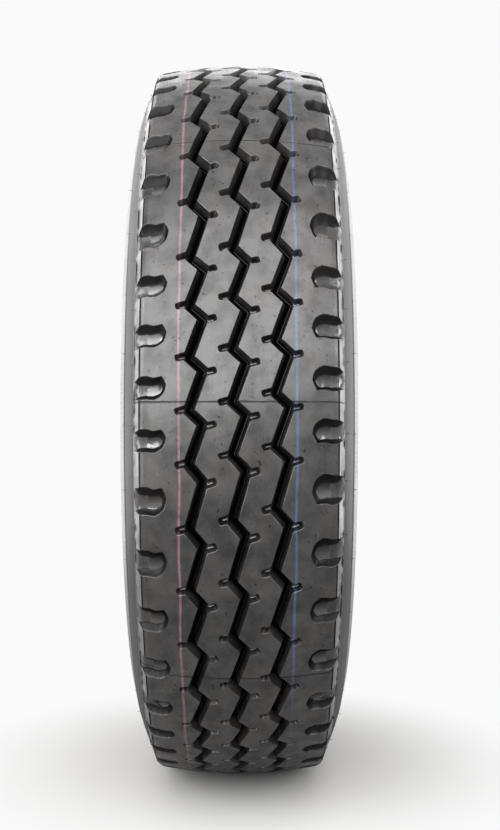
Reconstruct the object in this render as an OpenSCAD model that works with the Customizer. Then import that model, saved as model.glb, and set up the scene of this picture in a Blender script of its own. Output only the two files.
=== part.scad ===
// Truck and bus radial tyre, new and bare, standing on its tread.
// It is one moulded piece: three zigzag grooves with side slots, and open shoulder pockets.
// Frame: origin at the wheel centre, +Y along the spin axis, +Z up.

/* [Overall size] */
// Diameter over the middle of the tread
outer_d = 1085; // [1050:1:1120]
// Width across the sidewalls at their widest
section_w = 300; // [290:1:312]
// Diameter of the circle where the sidewalls are widest
widest_d = 800; // [770:1:830]
// Height by which the tread is flattened where the tyre stands under its own weight
standing_flat = 3; // [1:0.5:6]

/* [Tread] */
// Width across the tread, edge to edge
tread_w = 233; // [226:1:240]
// Radius of the crown across the tread
crown_r = 604; // [500:1:900]
// Flat steps that round the crown from edge to edge
crown_steps = 8; // [4:2:16]
// Thickness from the tread surface to the inside at the middle
crown_t = 33; // [28:0.5:40]

/* [Pitches] */
// Length of a long pitch divided by that of a short one
long_to_short = 1.26; // [1:0.01:1.4]
// Pitches in each run round the tread, where short and long runs take turns
pitch_runs = [2, 4, 4, 5, 4, 4, 4, 3, 5, 4, 5, 4]; // [1:1:8]
// Angle above the horizontal, in degrees, where the first run starts
pattern_start = 68.7; // [0:0.1:360]

/* [Grooves] */
// Distance between the middles of neighbouring grooves
groove_spacing = 50.5; // [46:0.5:54]
// Width of a groove at the tread surface
groove_w = 13.5; // [8:0.5:15]
// Depth of a groove
groove_depth = 16; // [8:0.5:18]
// Sideways swing of a groove's centreline
groove_swing = 16.5; // [8:0.5:17]
// Part of a pitch that the short leg of the zigzag takes
short_leg = 0.25; // [0.2:0.01:0.35]
// Lead of one groove over the next, as part of a pitch
groove_lead = 0.165; // [0:0.001:0.3]

/* [Side slots] */
// Reach of a side slot's tip from the middle of its groove
slot_reach = 24.8; // [22:0.1:25]
// Width of a side slot, as part of a pitch
slot_part = 0.136; // [0.06:0.002:0.15]
// Slant of a side slot from its tip to its groove, as part of a pitch
slot_slant = 0.05; // [0:0.005:0.08]

/* [Shoulder pockets] */
// Distance from the tyre's middle to the inner tip of a pocket
pocket_inner = 86; // [84:0.5:92]
// Depth of a pocket at its inner tip
pocket_depth = 12; // [6:0.5:16]
// Length of a pocket from its tip to its near end, as part of a pitch
pocket_near = 0.17; // [0.1:0.005:0.2]
// Length of a pocket from its tip to its far end, as part of a pitch
pocket_far = 0.285; // [0.2:0.005:0.3]
// Setback of the near corner from the tip
pocket_corner = 3; // [1:0.5:6]
// Setback of the far end from the tip
pocket_belly = 12; // [7:0.5:16]
// Height of a pocket's mouth above the foot of the bevel
pocket_sill = 2.5; // [1.5:0.5:5]
// Distance from a pocket to the middle groove's zigzag, as part of a pitch
pocket_shift = 0.459; // [0.3:0.001:0.6]

/* [Shoulder and sidewall] */
// Radial height of the bevel below the tread edge
bevel_h = 21; // [16:0.5:26]
// Sideways growth over that bevel
bevel_out = 8; // [4:0.5:10]
// Width of each ring line moulded round the sidewall
ring_w = 3; // [2:0.5:4]
// Depth of each ring line
ring_depth = 1.2; // [0.5:0.1:2]
// Radial distance from the tread edge to the lower ring line
lower_ring_drop = 58; // [50:1:70]
// Thickness of the sidewall at its widest
sidewall_t = 17; // [12:0.5:20]

/* [Beads] */
// Diameter of the cylindrical seat in each bead
seat_d = 514.4; // [508:0.1:520]
// Width over both beads
bead_span = 210; // [200:1:220]
// Width of each bead's seat
seat_w = 26; // [20:0.5:30]
// Radius of the heel between a bead's seat and its outer face
heel_r = 7; // [4:0.5:10]
// Width of the chamfered toe beside the seat
toe_w = 7; // [4:0.5:9]
// Radial height of the bead's face against the rim
face_h = 38; // [32:1:44]

/* [Hidden] */

rubber = [0.14, 0.14, 0.15];
arc_steps = 5;
liner_steps = 9;
liner_power = 2.6;
// Overlap of neighbouring cuts, and run of a cut past the surface
overlap = 0.6;
clear = 3;

outer_r = outer_d / 2;
edge_y = tread_w / 2;
side_y = section_w / 2;
widest_r = widest_d / 2;
seat_r = seat_d / 2;
bead_y = bead_span / 2;

// Radius of the tread surface at a distance y from the middle
function crown_at(y) = outer_r - crown_r + sqrt(crown_r * crown_r - y * y);

edge_r = crown_at(edge_y);
bevel_r = edge_r - bevel_h;
bevel_y = edge_y + bevel_out;
face_r = seat_r + face_h;
upper_ring_r = bevel_r - ring_w;
lower_ring_r = edge_r - lower_ring_drop;
toe_r = seat_r + toe_w;
toe_y = bead_y - heel_r - seat_w - toe_w;
liner_y = side_y - sidewall_t;
liner_r = outer_r - crown_t;

// Distance from the middle at radius r, on an arc that is widest at widest_r and passes by_p
function arc_y(r, top_y, by_p) =
    let (rise = top_y - by_p[1], run = by_p[0] - widest_r, rad = (run * run + rise * rise) / (2 * rise))
        top_y - rad + sqrt(rad * rad - (r - widest_r) * (r - widest_r));

// Points of that arc between two radii
function arc(from_r, to_r, top_y, by_p, steps) = [
    for (i = [0 : steps])
        let (r = from_r + (to_r - from_r) * i / steps) [r, arc_y(r, top_y, by_p)]
];

bevel_p = [bevel_r, bevel_y];
face_p = [face_r, bead_y];
toe_p = [toe_r, toe_y];

function wall_y(r) = arc_y(r, side_y, bevel_p);
function ring_line(r) = [
    [r - ring_w / 2, wall_y(r - ring_w / 2)],
    [r, wall_y(r) - ring_depth],
    [r + ring_w / 2, wall_y(r + ring_w / 2)]
];

// Outside of one half as [radius, distance from the middle], from the bead seat to the crown
outside = concat(
    [for (i = [0 : arc_steps])
        let (a = 90 * i / arc_steps)
            [seat_r + heel_r * (1 - cos(a)), bead_y - heel_r * (1 - sin(a))]],
    arc(face_r, widest_r - 1, side_y, face_p, arc_steps),
    arc(widest_r + 1, lower_ring_r - 2 * ring_w, side_y, bevel_p, arc_steps),
    ring_line(lower_ring_r),
    [[(lower_ring_r + upper_ring_r) / 2, wall_y((lower_ring_r + upper_ring_r) / 2)]],
    ring_line(upper_ring_r),
    [bevel_p],
    [for (i = [0 : crown_steps / 2])
        let (y = edge_y * (1 - 2 * i / crown_steps)) [crown_at(y), y]]
);

// Inside of one half, from the crown to the bead toe
inside = concat(
    [for (i = [0 : liner_steps])
        let (a = 90 * i / liner_steps)
            [
                widest_r + (liner_r - widest_r) * pow(cos(a), 2 / liner_power),
                liner_y * pow(sin(a), 2 / liner_power)
            ]],
    arc(widest_r - 10, toe_r, liner_y, toe_p, arc_steps),
    [[seat_r, toe_y + toe_w]]
);

function reversed(points) = [for (i = [len(points) - 1 : -1 : 0]) points[i]];
function mirrored(points) = [for (p = points) [p[0], -p[1]]];

// Pitch lengths in order, and the angle from the start of the pattern to the end of each
pitches = [
    for (run = [0 : len(pitch_runs) - 1]) for (i = [1 : pitch_runs[run]])
        run % 2 == 0 ? 1 : long_to_short
];
pitch_count = len(pitches);
function total(n) = n == 0 ? 0 : pitches[n - 1] + total(n - 1);
pitch_ends = [for (n = [0 : pitch_count]) 360 * total(n) / total(pitch_count)];

// Angle above the horizontal at t pitches along the pattern, which runs down the front
function angle_at(t) =
    let (turns = floor(t / pitch_count), whole = floor(t), i = whole - turns * pitch_count)
        pattern_start - 360 * turns - pitch_ends[i]
        - (t - whole) * (pitch_ends[i + 1] - pitch_ends[i]);

// Point at angle a and distance y from the middle, on the plane that touches the tread at angle at_a
function on_plane(y, a, at_a) = [y, outer_r * sin(a - at_a)];

// Sidestep of the corner q on the path p, q, r
function sidestep(p, q, r, by) =
    let (u = (q - p) / norm(q - p), v = (r - q) / norm(r - q), m = [-u[1], u[0]], n = [-v[1], v[0]])
        q + by * (m + n) / (1 + m * n);

// Crossing of the line through p and q with the line through a and b
function crossing(p, q, a, b) =
    let (u = q - p, v = b - a, w = a - p)
        p + u * (w[0] * v[1] - w[1] * v[0]) / (u[0] * v[1] - u[1] * v[0]);

// Outline of one pitch of a groove on its plane: half a long leg, a short leg, half a long leg,
// with a side slot at each outer corner
function groove_outline(mid_y, t) =
    let (
        half = groove_w / 2,
        swing = groove_swing / 2,
        a0 = angle_at(t),
        a_left = angle_at(t - short_leg / 2),
        a_right = angle_at(t + short_leg / 2),
        a_start = (angle_at(t - 1 + short_leg / 2) + a_left) / 2,
        a_end = (a_right + angle_at(t + 1 - short_leg / 2)) / 2,
        left = on_plane(mid_y - swing, a_left, a0),
        right = on_plane(mid_y + swing, a_right, a0),
        mid_start = on_plane(mid_y, a_start, a0),
        mid_end = on_plane(mid_y, a_end, a0),
        start = mid_start + (mid_start - left) * overlap / norm(mid_start - left),
        end = mid_end + (mid_end - right) * overlap / norm(mid_end - right),
        start_l = sidestep(2 * start - left, start, left, -half),
        start_r = sidestep(2 * start - left, start, left, half),
        left_l = sidestep(start, left, right, -half),
        left_r = sidestep(start, left, right, half),
        right_l = sidestep(left, right, end, -half),
        right_r = sidestep(left, right, end, half),
        end_l = sidestep(right, end, 2 * end - right, -half),
        end_r = sidestep(right, end, 2 * end - right, half),
        slot_l = slot_outline(mid_y, -1, t - short_leg / 2, a0),
        slot_r = slot_outline(mid_y, 1, t + short_leg / 2, a0),
        last = len(slot_l) - 1
    ) concat(
        [start_l, crossing(slot_l[0], slot_l[1], start_l, left_l)],
        [for (i = [1 : last - 1]) slot_l[i]],
        [crossing(slot_l[last - 1], slot_l[last], left_l, right_l), right_l, end_l, end_r],
        [crossing(slot_r[0], slot_r[1], end_r, right_r)],
        [for (i = [1 : last - 1]) slot_r[i]],
        [crossing(slot_r[last - 1], slot_r[last], right_r, left_r), left_r, start_r]
    );

// Outline of a side slot that leaves the groove at t, on the side that side gives, with a round tip
function slot_outline(mid_y, side, t, a0) =
    let (
        wide = on_plane(0, angle_at(t - slot_part / 2), a0) - on_plane(0, angle_at(t + slot_part / 2), a0),
        rad = norm(wide) / 2,
        root = on_plane(mid_y + side * groove_swing / 2, angle_at(t + side * slot_slant), a0),
        tip = on_plane(mid_y + side * (slot_reach - rad), angle_at(t), a0),
        u = (tip - root) / norm(tip - root),
        n = [-u[1], u[0]]
    ) concat(
        [root - rad * n],
        [for (i = [0 : 4]) let (a = -90 + 45 * i) tip + rad * (cos(a) * u + sin(a) * n)],
        [root + rad * n]
    );

// Cut from radius floor_r outwards, square to the plane that touches the tread at angle a
module cut_inwards(a, floor_r, points) {
    rotate([0, -a, 0])
        translate([floor_r, 0, 0])
            rotate([90, 0, 90])
                linear_extrude(height = outer_r + clear - floor_r)
                    polygon(points);
}

module groove(index) {
    mid_y = index * groove_spacing;
    for (k = [0 : pitch_count - 1]) {
        t = k - index * groove_lead;
        cut_inwards(angle_at(t), crown_at(mid_y) - groove_depth, groove_outline(mid_y, t));
    }
}

// Pocket on the side that side gives, open to the shoulder
module pocket(side, t) {
    a0 = angle_at(t);
    near = on_plane(0, angle_at(t + side * pocket_near), a0)[1];
    far = on_plane(0, angle_at(t - side * pocket_far), a0)[1];
    open_y = bevel_y + clear;
    floor_r = crown_at(pocket_inner) - pocket_depth;
    slope_y = pocket_inner + pocket_belly;
    sill_r = bevel_r + pocket_sill;
    intersection() {
        cut_inwards(a0, sill_r - clear, [
            for (p = [
                [pocket_inner, 0], [pocket_inner + pocket_corner, near], [open_y, near],
                [open_y, far], [pocket_inner + pocket_belly, far], [pocket_inner + pocket_corner, -near]
            ]) [side * p[0], p[1]]
        ]);
        rotate([0, -a0, 0])
            linear_extrude(height = 2 * max(abs(near), abs(far)) + clear, center = true)
                polygon([
                    [floor_r, 0], [floor_r, side * slope_y], [sill_r, side * bevel_y],
                    [sill_r, side * (open_y + clear)], [outer_r + clear, side * (open_y + clear)],
                    [outer_r + clear, 0]
                ]);
    }
}

module shell() {
    rotate([-90, 0, 0])
        rotate_extrude($fn = 180)
            polygon(concat(
                mirrored(outside), reversed([for (i = [0 : len(outside) - 2]) outside[i]]),
                reversed(inside), mirrored([for (i = [1 : len(inside) - 1]) inside[i]])
            ));
}

module tyre() {
    color(rubber)
        difference() {
            shell();
            for (index = [-1 : 1]) groove(index);
            for (side = [-1, 1]) for (k = [0 : pitch_count - 1]) pocket(side, k + side * pocket_shift);
            translate([0, 0, standing_flat - outer_r - section_w / 2])
                cube(section_w, center = true);
        }
}

tyre();
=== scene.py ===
"""Truck and bus radial tyre, new and bare, standing on its tread in a white studio.

The tyre is one moulded piece. Here its surface is two closed shells that overlap inside the rubber, the
tread and the casing, with the thin flash and the fine spew hairs that the mould leaves on them. Sizes are
in millimetres and become metres where a mesh is made. The frame is the CAD's: origin at the wheel centre,
+Y along the spin axis, +Z up. A point of the tread at angle a above the horizontal is (r cos a, y, r sin a),
and the pattern runs down the front, so its phase grows as the angle falls.
"""

import logging
import math
from dataclasses import dataclass, field
from enum import Enum

import bpy
import numpy as np
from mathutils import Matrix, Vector
from mathutils.geometry import delaunay_2d_cdt


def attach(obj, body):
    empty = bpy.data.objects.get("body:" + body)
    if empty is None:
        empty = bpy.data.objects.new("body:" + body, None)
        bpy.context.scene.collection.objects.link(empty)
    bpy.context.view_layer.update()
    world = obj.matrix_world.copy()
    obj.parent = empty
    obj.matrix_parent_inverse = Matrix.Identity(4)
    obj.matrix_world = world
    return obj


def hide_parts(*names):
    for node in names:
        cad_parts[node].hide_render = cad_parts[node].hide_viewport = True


Array = np.ndarray
Socket = bpy.types.NodeSocket
Pair = tuple[float, float]
Triple = tuple[float, float, float]

log = logging.getLogger("tyre")

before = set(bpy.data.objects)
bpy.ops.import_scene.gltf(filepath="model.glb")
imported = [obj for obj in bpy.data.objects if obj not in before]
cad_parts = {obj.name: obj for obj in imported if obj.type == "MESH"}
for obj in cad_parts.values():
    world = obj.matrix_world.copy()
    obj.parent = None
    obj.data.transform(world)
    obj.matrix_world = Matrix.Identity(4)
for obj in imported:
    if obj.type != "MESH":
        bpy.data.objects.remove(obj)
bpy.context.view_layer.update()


class Row(Enum):
    """Lines that run round a cut, and whether the surface has a crisp edge there."""

    PLAIN = 0
    RIM = 1
    LIP = 2
    FOLD = 3


def metres(points: Array) -> Array:
    """Millimetres as metres."""
    return np.asarray(points, float) * 0.001


def linear(code: str) -> tuple[float, float, float, float]:
    """Turn an sRGB hex colour into the linear values that a shader takes.

    Args:
        code: six hex digits after a hash.

    Returns:
        Linear red, green, blue and an alpha of 1.
    """
    parts = [int(code[i : i + 2], 16) / 255 for i in (1, 3, 5)]
    return (*(c / 12.92 if c <= 0.04045 else ((c + 0.055) / 1.055) ** 2.4 for c in parts), 1.0)


def unit(vectors: Array) -> Array:
    """Vectors along the last axis, each divided by its length."""
    return vectors / np.linalg.norm(vectors, axis=-1, keepdims=True)


def turned(radius: Array | float, y: Array | float, angle: Array) -> Array:
    """Points round the axis: radius times the angle's cosine, y, and radius times its sine.

    Args:
        radius: distances from the axis.
        y: distances from the tyre's middle.
        angle: angles above the horizontal, in radians.

    Returns:
        (..., 3) points, over the shape that the three spread to together.
    """
    radius, y, angle = np.broadcast_arrays(radius, y, angle)
    return np.stack([radius * np.cos(angle), y, radius * np.sin(angle)], -1)


def cells(grid: Array, closed: bool = False) -> Array:
    """Quads between the neighbouring rows of a grid of point numbers, whose rows are closed rings.

    Args:
        grid: (rows, n) point numbers.
        closed: whether the last row joins the first one.

    Returns:
        (m, 4) corners: a point, the one in the next row, that one's neighbour, and its own neighbour.
    """
    rows = np.vstack([grid, grid[:1]]) if closed else grid
    a, b = rows[:-1], rows[1:]
    return np.stack([a, b, np.roll(b, -1, axis=1), np.roll(a, -1, axis=1)], 2).reshape(-1, 4)


def halves(quads: Array) -> Array:
    """Two triangles for each quad, split from its first corner: all the first halves, then the others."""
    return np.concatenate([quads[:, :3], quads[:, [0, 2, 3]]])


def mesh_piece(name: str, verts: Array, faces: Array, sharp: Array | None = None) -> bpy.types.Object:
    """Make a smooth-shaded piece of faces with one number of corners each.

    Args:
        name: name of the piece.
        verts: (n, 3) points in millimetres.
        faces: (m, 3) or (m, 4) corner indices, counter-clockwise from outside.
        sharp: (n,) row of each point, or None. An edge along a row is sharp, and so is one from a rim
            to a fold, but PLAIN rows are soft.

    Returns:
        The new object, linked to the scene, at the origin.
    """
    mesh = bpy.data.meshes.new(name)
    corners = faces.shape[1]
    mesh.vertices.add(len(verts))
    mesh.vertices.foreach_set("co", metres(verts).ravel())
    mesh.loops.add(faces.size)
    mesh.loops.foreach_set("vertex_index", faces.astype(np.int32).ravel())
    mesh.polygons.add(len(faces))
    mesh.polygons.foreach_set("loop_start", np.arange(len(faces), dtype=np.int32) * corners)
    mesh.polygons.foreach_set("use_smooth", np.ones(len(faces), bool))
    mesh.update(calc_edges=True)
    if sharp is not None:
        ends = np.zeros(len(mesh.edges) * 2, np.int32)
        mesh.edges.foreach_get("vertices", ends)
        low, high = np.sort(sharp[ends.reshape(-1, 2)], axis=1).T
        along = (low != Row.PLAIN.value) & (low == high)
        meets = (low == Row.RIM.value) & (high == Row.FOLD.value)
        mesh.edges.foreach_set("use_edge_sharp", along | meets)
    piece = bpy.data.objects.new(name, mesh)
    bpy.context.scene.collection.objects.link(piece)
    return piece


def point_values(piece: bpy.types.Object, name: str, values: Array) -> None:
    """Store one number per point of a piece, for its material.

    Args:
        piece: the object.
        name: name of the attribute.
        values: one number per point.
    """
    attribute = piece.data.attributes.new(name, "FLOAT", "POINT")
    attribute.data.foreach_set("value", np.asarray(values, np.float32))


def subdivide(line: Array, step: float) -> Array:
    """Cut each stretch of a line into equal parts no longer than a step, and keep its corners.

    Args:
        line: (n, 2) corners.
        step: longest part.

    Returns:
        The corners with the new points between them.
    """
    runs = [line[:1]]
    for a, b in zip(line[:-1], line[1:]):
        parts = max(1, math.ceil(np.linalg.norm(b - a) / step))
        runs.append(a + (b - a) * (np.arange(1, parts + 1) / parts)[:, None])
    return np.concatenate(runs)


def inside(points: Array, polygon: Array) -> Array:
    """Tell which points lie in a polygon, by counting the edges that a ray to the right crosses.

    Args:
        points: (n, 2) points.
        polygon: (m, 2) corners in order.

    Returns:
        (n,) truth values.
    """
    a, b = polygon, np.roll(polygon, -1, axis=0)
    px, py = points[:, :1], points[:, 1:]
    spans = (a[:, 1] > py) != (b[:, 1] > py)
    run = np.where(b[:, 1] == a[:, 1], 1.0, b[:, 1] - a[:, 1])
    crossed = px < a[:, 0] + (py - a[:, 1]) * (b[:, 0] - a[:, 0]) / run
    return (spans & crossed).sum(axis=1) % 2 == 1


def distance_to(points: Array, starts: Array, ends: Array) -> Array:
    """Shortest distance from each point to a set of straight stretches.

    Args:
        points: (n, 2) points.
        starts: (m, 2) first ends.
        ends: (m, 2) second ends.

    Returns:
        (n,) distances.
    """
    run = ends - starts
    length = np.maximum((run**2).sum(axis=1), 1e-12)
    along = np.clip(((points[:, None] - starts) * run).sum(axis=2) / length, 0, 1)
    return np.linalg.norm(points[:, None] - (starts + along[..., None] * run), axis=2).min(axis=1)


@dataclass(frozen=True)
class Pattern:
    """Pitches of two lengths round the tread, in runs where short and long ones take turns."""

    runs: tuple[int, ...] = (2, 4, 4, 5, 4, 4, 4, 3, 5, 4, 5, 4)
    long_to_short: float = 1.26
    start: float = 68.7

    @property
    def count(self) -> int:
        """Number of pitches."""
        return sum(self.runs)

    def angle(self, phase: Array) -> Array:
        """Angle above the horizontal at a phase counted in pitches.

        The pitch lengths are added up, divided by their sum and read between whole phases in a straight
        line, and the angle is the start less that part of a turn.

        Args:
            phase: phases, of any sign.

        Returns:
            Angles in radians.
        """
        lengths = np.repeat(np.where(np.arange(len(self.runs)) % 2, self.long_to_short, 1.0), self.runs)
        ends = np.concatenate([[0.0], np.cumsum(lengths)]) / lengths.sum()
        turns = np.floor(phase / self.count)
        part = np.interp(phase - turns * self.count, np.arange(self.count + 1), ends)
        return np.radians(self.start - 360 * (turns + part))


@dataclass(frozen=True)
class Section:
    """Cross-section sizes that the tread and the casing share. Its points are (y, radius)."""

    outer_r: float = 542.5
    crown_r: float = 604.0
    flat_below: float = 539.5
    edge_y: float = 111.6
    # Rounded tread edge, with the fine groove between it and the bevel
    edge_knots: tuple[Pair, ...] = ((115.4, 529.8), (116.2, 528.9), (116.8, 527.4))
    bevel_top: Pair = (117.6, 529.0)
    bevel_knee: Pair = (121.0, 520.2)
    bevel_foot: Pair = (124.5, 510.3)

    def crown(self, y: Array) -> Array:
        """Radius of the crown's arc at a distance y from the middle."""
        return self.outer_r - self.crown_r + np.sqrt(self.crown_r**2 - np.square(y))

    def shoulder(self) -> Array:
        """Corners of the shoulder: rounded tread edge, fine groove and bevel, as (y, radius)."""
        edge = (self.edge_y, float(self.crown(self.edge_y)))
        return np.array([edge, *self.edge_knots, self.bevel_top, self.bevel_knee, self.bevel_foot])

    def surface(self, y: Array) -> Array:
        """Radius of the tread before anything is cut into it.

        Args:
            y: distances from the middle, of either sign.

        Returns:
            The crown's arc up to the tread edge, and the shoulder's straight stretches past it.
        """
        out = np.abs(y)
        crown = self.crown(np.minimum(out, self.edge_y))
        return np.where(out <= self.edge_y, crown, np.interp(out, *self.shoulder().T))

    def standing(self, points: Array) -> Array:
        """Points with none lower than the flat spot that the tyre stands on."""
        return np.column_stack([points[:, :2], np.maximum(points[:, 2], -self.flat_below)])


@dataclass
class Plan:
    """Flat plan of one pitch, as points with their depths and the lines between them."""

    points: list[Array] = field(default_factory=list)
    depths: list[Array] = field(default_factory=list)
    parts: list[Array] = field(default_factory=list)
    rows: list[Array] = field(default_factory=list)
    lines: list[Array] = field(default_factory=list)
    size: int = 0

    def add(self, line: Array, depth: float = 0.0, part: float = 0.0, row: Row = Row.PLAIN) -> None:
        """Add a line of points.

        Args:
            line: (n, 2) points along the tread and across it.
            depth: depth below the uncut surface.
            part: part of the way from the uncut surface down to a pocket's floor.
            row: what the line is.
        """
        n = len(line)
        self.points.append(line)
        self.depths.append(np.full(n, depth))
        self.parts.append(np.full(n, part))
        self.rows.append(np.full(n, row.value))
        ids = self.size + np.arange(n)
        self.lines.append(np.column_stack([ids[:-1], ids[1:]]))
        self.size += n

    def stretches(self) -> tuple[Array, Array]:
        """First ends and second ends of every line's stretches."""
        points, ends = np.concatenate(self.points), np.concatenate(self.lines)
        return points[ends[:, 0]], points[ends[:, 1]]


@dataclass(frozen=True)
class Groove:
    """Zigzag groove with sloping walls, and a blunt side slot at each outer corner."""

    index: int
    pitch: float
    spacing: float = 50.5
    width: float = 13.5
    swing: float = 16.5
    short_leg: float = 0.25
    lead: float = 0.165
    slot_reach: float = 24.8
    slot_part: float = 0.136
    slot_slant: float = 0.05
    tip_power: float = 0.67
    step: float = 9.0
    # Inset from the bank and depth of the rim, lip, ledge, foot, fillet and floor
    rim: Pair = (-0.3, 0.0)
    lip: Pair = (0.25, 0.45)
    ledge: Pair = (2.2, 8.6)
    foot: Pair = (3.7, 14.4)
    fillet: Pair = (4.5, 15.7)
    floor: Pair = (5.8, 16.0)
    # Inset from the slot's sides and depth of its foot and floor
    slot_foot: Pair = (2.6, 7.4)
    slot_floor: Pair = (3.4, 8.8)
    # Setback of a slot's floor from its tip, and its drift down the pattern, for each millimetre of inset
    # past the first
    slot_ramp: float = 0.8
    slot_lean: float = 0.3

    @property
    def start(self) -> float:
        """Place along the tread where this groove's pitch starts, halfway down a long leg."""
        return (-0.5 - self.index * self.lead) * self.pitch

    @property
    def middle(self) -> Array:
        """Middle of the short leg, along the tread and across it."""
        return np.array([-self.index * self.lead * self.pitch, self.index * self.spacing])

    @property
    def half_leg(self) -> Array:
        """Way from the short leg's middle to its lower corner."""
        return np.array([self.short_leg * self.pitch / 2, self.swing / 2])

    def bank(self, inset: float, side: int) -> Array:
        """One bank of the groove over one pitch, without its slot.

        The centreline's two corners move sideways by half the width less the inset, along the sum of
        the two legs' normals divided by one plus their product.

        Args:
            inset: distance in from the bank at the tread surface.
            side: -1 for the bank at lower y, 1 for the other.

        Returns:
            (4, 2) points: start, upper corner, lower corner, end.
        """
        half = side * (self.width / 2 - inset)
        long = unit(np.array([(1 - self.short_leg) * self.pitch, -self.swing]))
        short = unit(np.array([self.short_leg * self.pitch, self.swing]))
        n_long, n_short = np.array([-long[1], long[0]]), np.array([-short[1], short[0]])
        mitre = half * ((n_long + n_short) / (1 + n_long @ n_short))
        upper, lower = self.middle - self.half_leg + mitre, self.middle + self.half_leg + mitre
        across = self.middle[1] + half / n_long[1]
        return np.array([[self.start, across], upper, lower, [self.start + self.pitch, across]])

    def slot(self, inset: float, side: int, bank: Array) -> Array:
        """Outline of the side slot, from its upper meeting with a bank line round the tip to its lower one.

        The tip is half a rounded square, whose two coordinates are a cosine and a sine to one power.

        Args:
            inset: distance in from the slot's own sides.
            side: -1 or 1, as for the bank.
            bank: the bank line that it starts and ends on.

        Returns:
            (n, 2) points in the order of the tread's run.
        """
        half = self.slot_part * self.pitch / 2
        corner = self.middle + side * self.half_leg
        root = corner + [side * self.slot_slant * self.pitch, 0.0]
        tip = np.array([corner[0], self.middle[1] + side * (self.slot_reach - half)])
        out = unit(tip - root)
        past = max(inset - 1, 0)
        tip = tip - out * self.slot_ramp * past + [self.slot_lean * past, 0.0]
        down = np.array([abs(out[1]), -out[0] * np.sign(out[1])])
        a = np.radians(np.linspace(-90, 90, 9))[:, None]
        bend = np.sign(a) * np.abs(np.sin(a)) ** self.tip_power * down + np.cos(a) ** self.tip_power * out
        tip_line = tip + (half - inset) * bend
        upper = self.meeting(tip_line[0], out, bank)
        lower = self.meeting(tip_line[-1], out, bank)
        return subdivide(np.concatenate([[upper], tip_line, [lower]]), self.step / 2)

    @staticmethod
    def meeting(point: Array, out: Array, bank: Array) -> Array:
        """Where a straight line back from a point first meets a bank line.

        Args:
            point: a point past the bank.
            out: direction away from the groove.
            bank: (n, 2) corners of the bank line.

        Returns:
            The meeting point.
        """
        a, run = bank[:-1], np.diff(bank, axis=0)
        cross = run[:, 0] * out[1] - run[:, 1] * out[0]
        gap = point - a
        along = (gap[:, 0] * out[1] - gap[:, 1] * out[0]) / cross
        hits = a + along[:, None] * run
        back = (point - hits) @ out
        back[(along < 0) | (along > 1) | (back < 0)] = np.inf
        return hits[np.argmin(back)]

    def with_slot(self, inset: float, side: int) -> Array:
        """A bank line that goes round its slot, both at one inset.

        Args:
            inset: distance in from the bank and from the slot's sides.
            side: -1 or 1, as for the bank.

        Returns:
            (n, 2) points in the order of the tread's run.
        """
        bank = self.bank(inset, side)
        slot = self.slot(inset, side, bank)
        before, after = bank[bank[:, 0] < slot[0, 0] - 0.01], bank[bank[:, 0] > slot[-1, 0] + 0.01]
        upper = subdivide(np.concatenate([before, slot[:1]]), self.step)
        lower = subdivide(np.concatenate([slot[-1:], after]), self.step)
        return np.concatenate([upper, slot[1:-1], lower])

    def draw(self, plan: Plan) -> Array:
        """Add the groove's lines to the plan.

        Args:
            plan: the pitch's plan.

        Returns:
            The groove's outline at its rim, as a polygon.
        """
        rims = []
        below = ((self.foot, Row.PLAIN), (self.fillet, Row.FOLD), (self.floor, Row.FOLD))
        for side in (-1, 1):
            rims.append(self.with_slot(self.rim[0], side))
            plan.add(rims[-1], self.rim[1], row=Row.RIM)
            plan.add(self.with_slot(self.lip[0], side), self.lip[1], row=Row.LIP)
            bank = self.bank(self.ledge[0], side)
            slots = [self.slot(inset, side, bank) for inset, _ in (self.slot_foot, self.slot_floor)]
            for line, (_, depth) in zip(slots, (self.slot_foot, self.slot_floor)):
                plan.add(line, depth)
            ledge = np.concatenate([bank, *[line[[0, -1]] for line in slots]])
            plan.add(subdivide(ledge[np.argsort(ledge[:, 0])], self.step), self.ledge[1], row=Row.FOLD)
            for (inset, depth), row in below:
                plan.add(subdivide(self.bank(inset, side), self.step), depth, row=row)
        return np.concatenate([rims[0], rims[1][::-1]])


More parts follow.
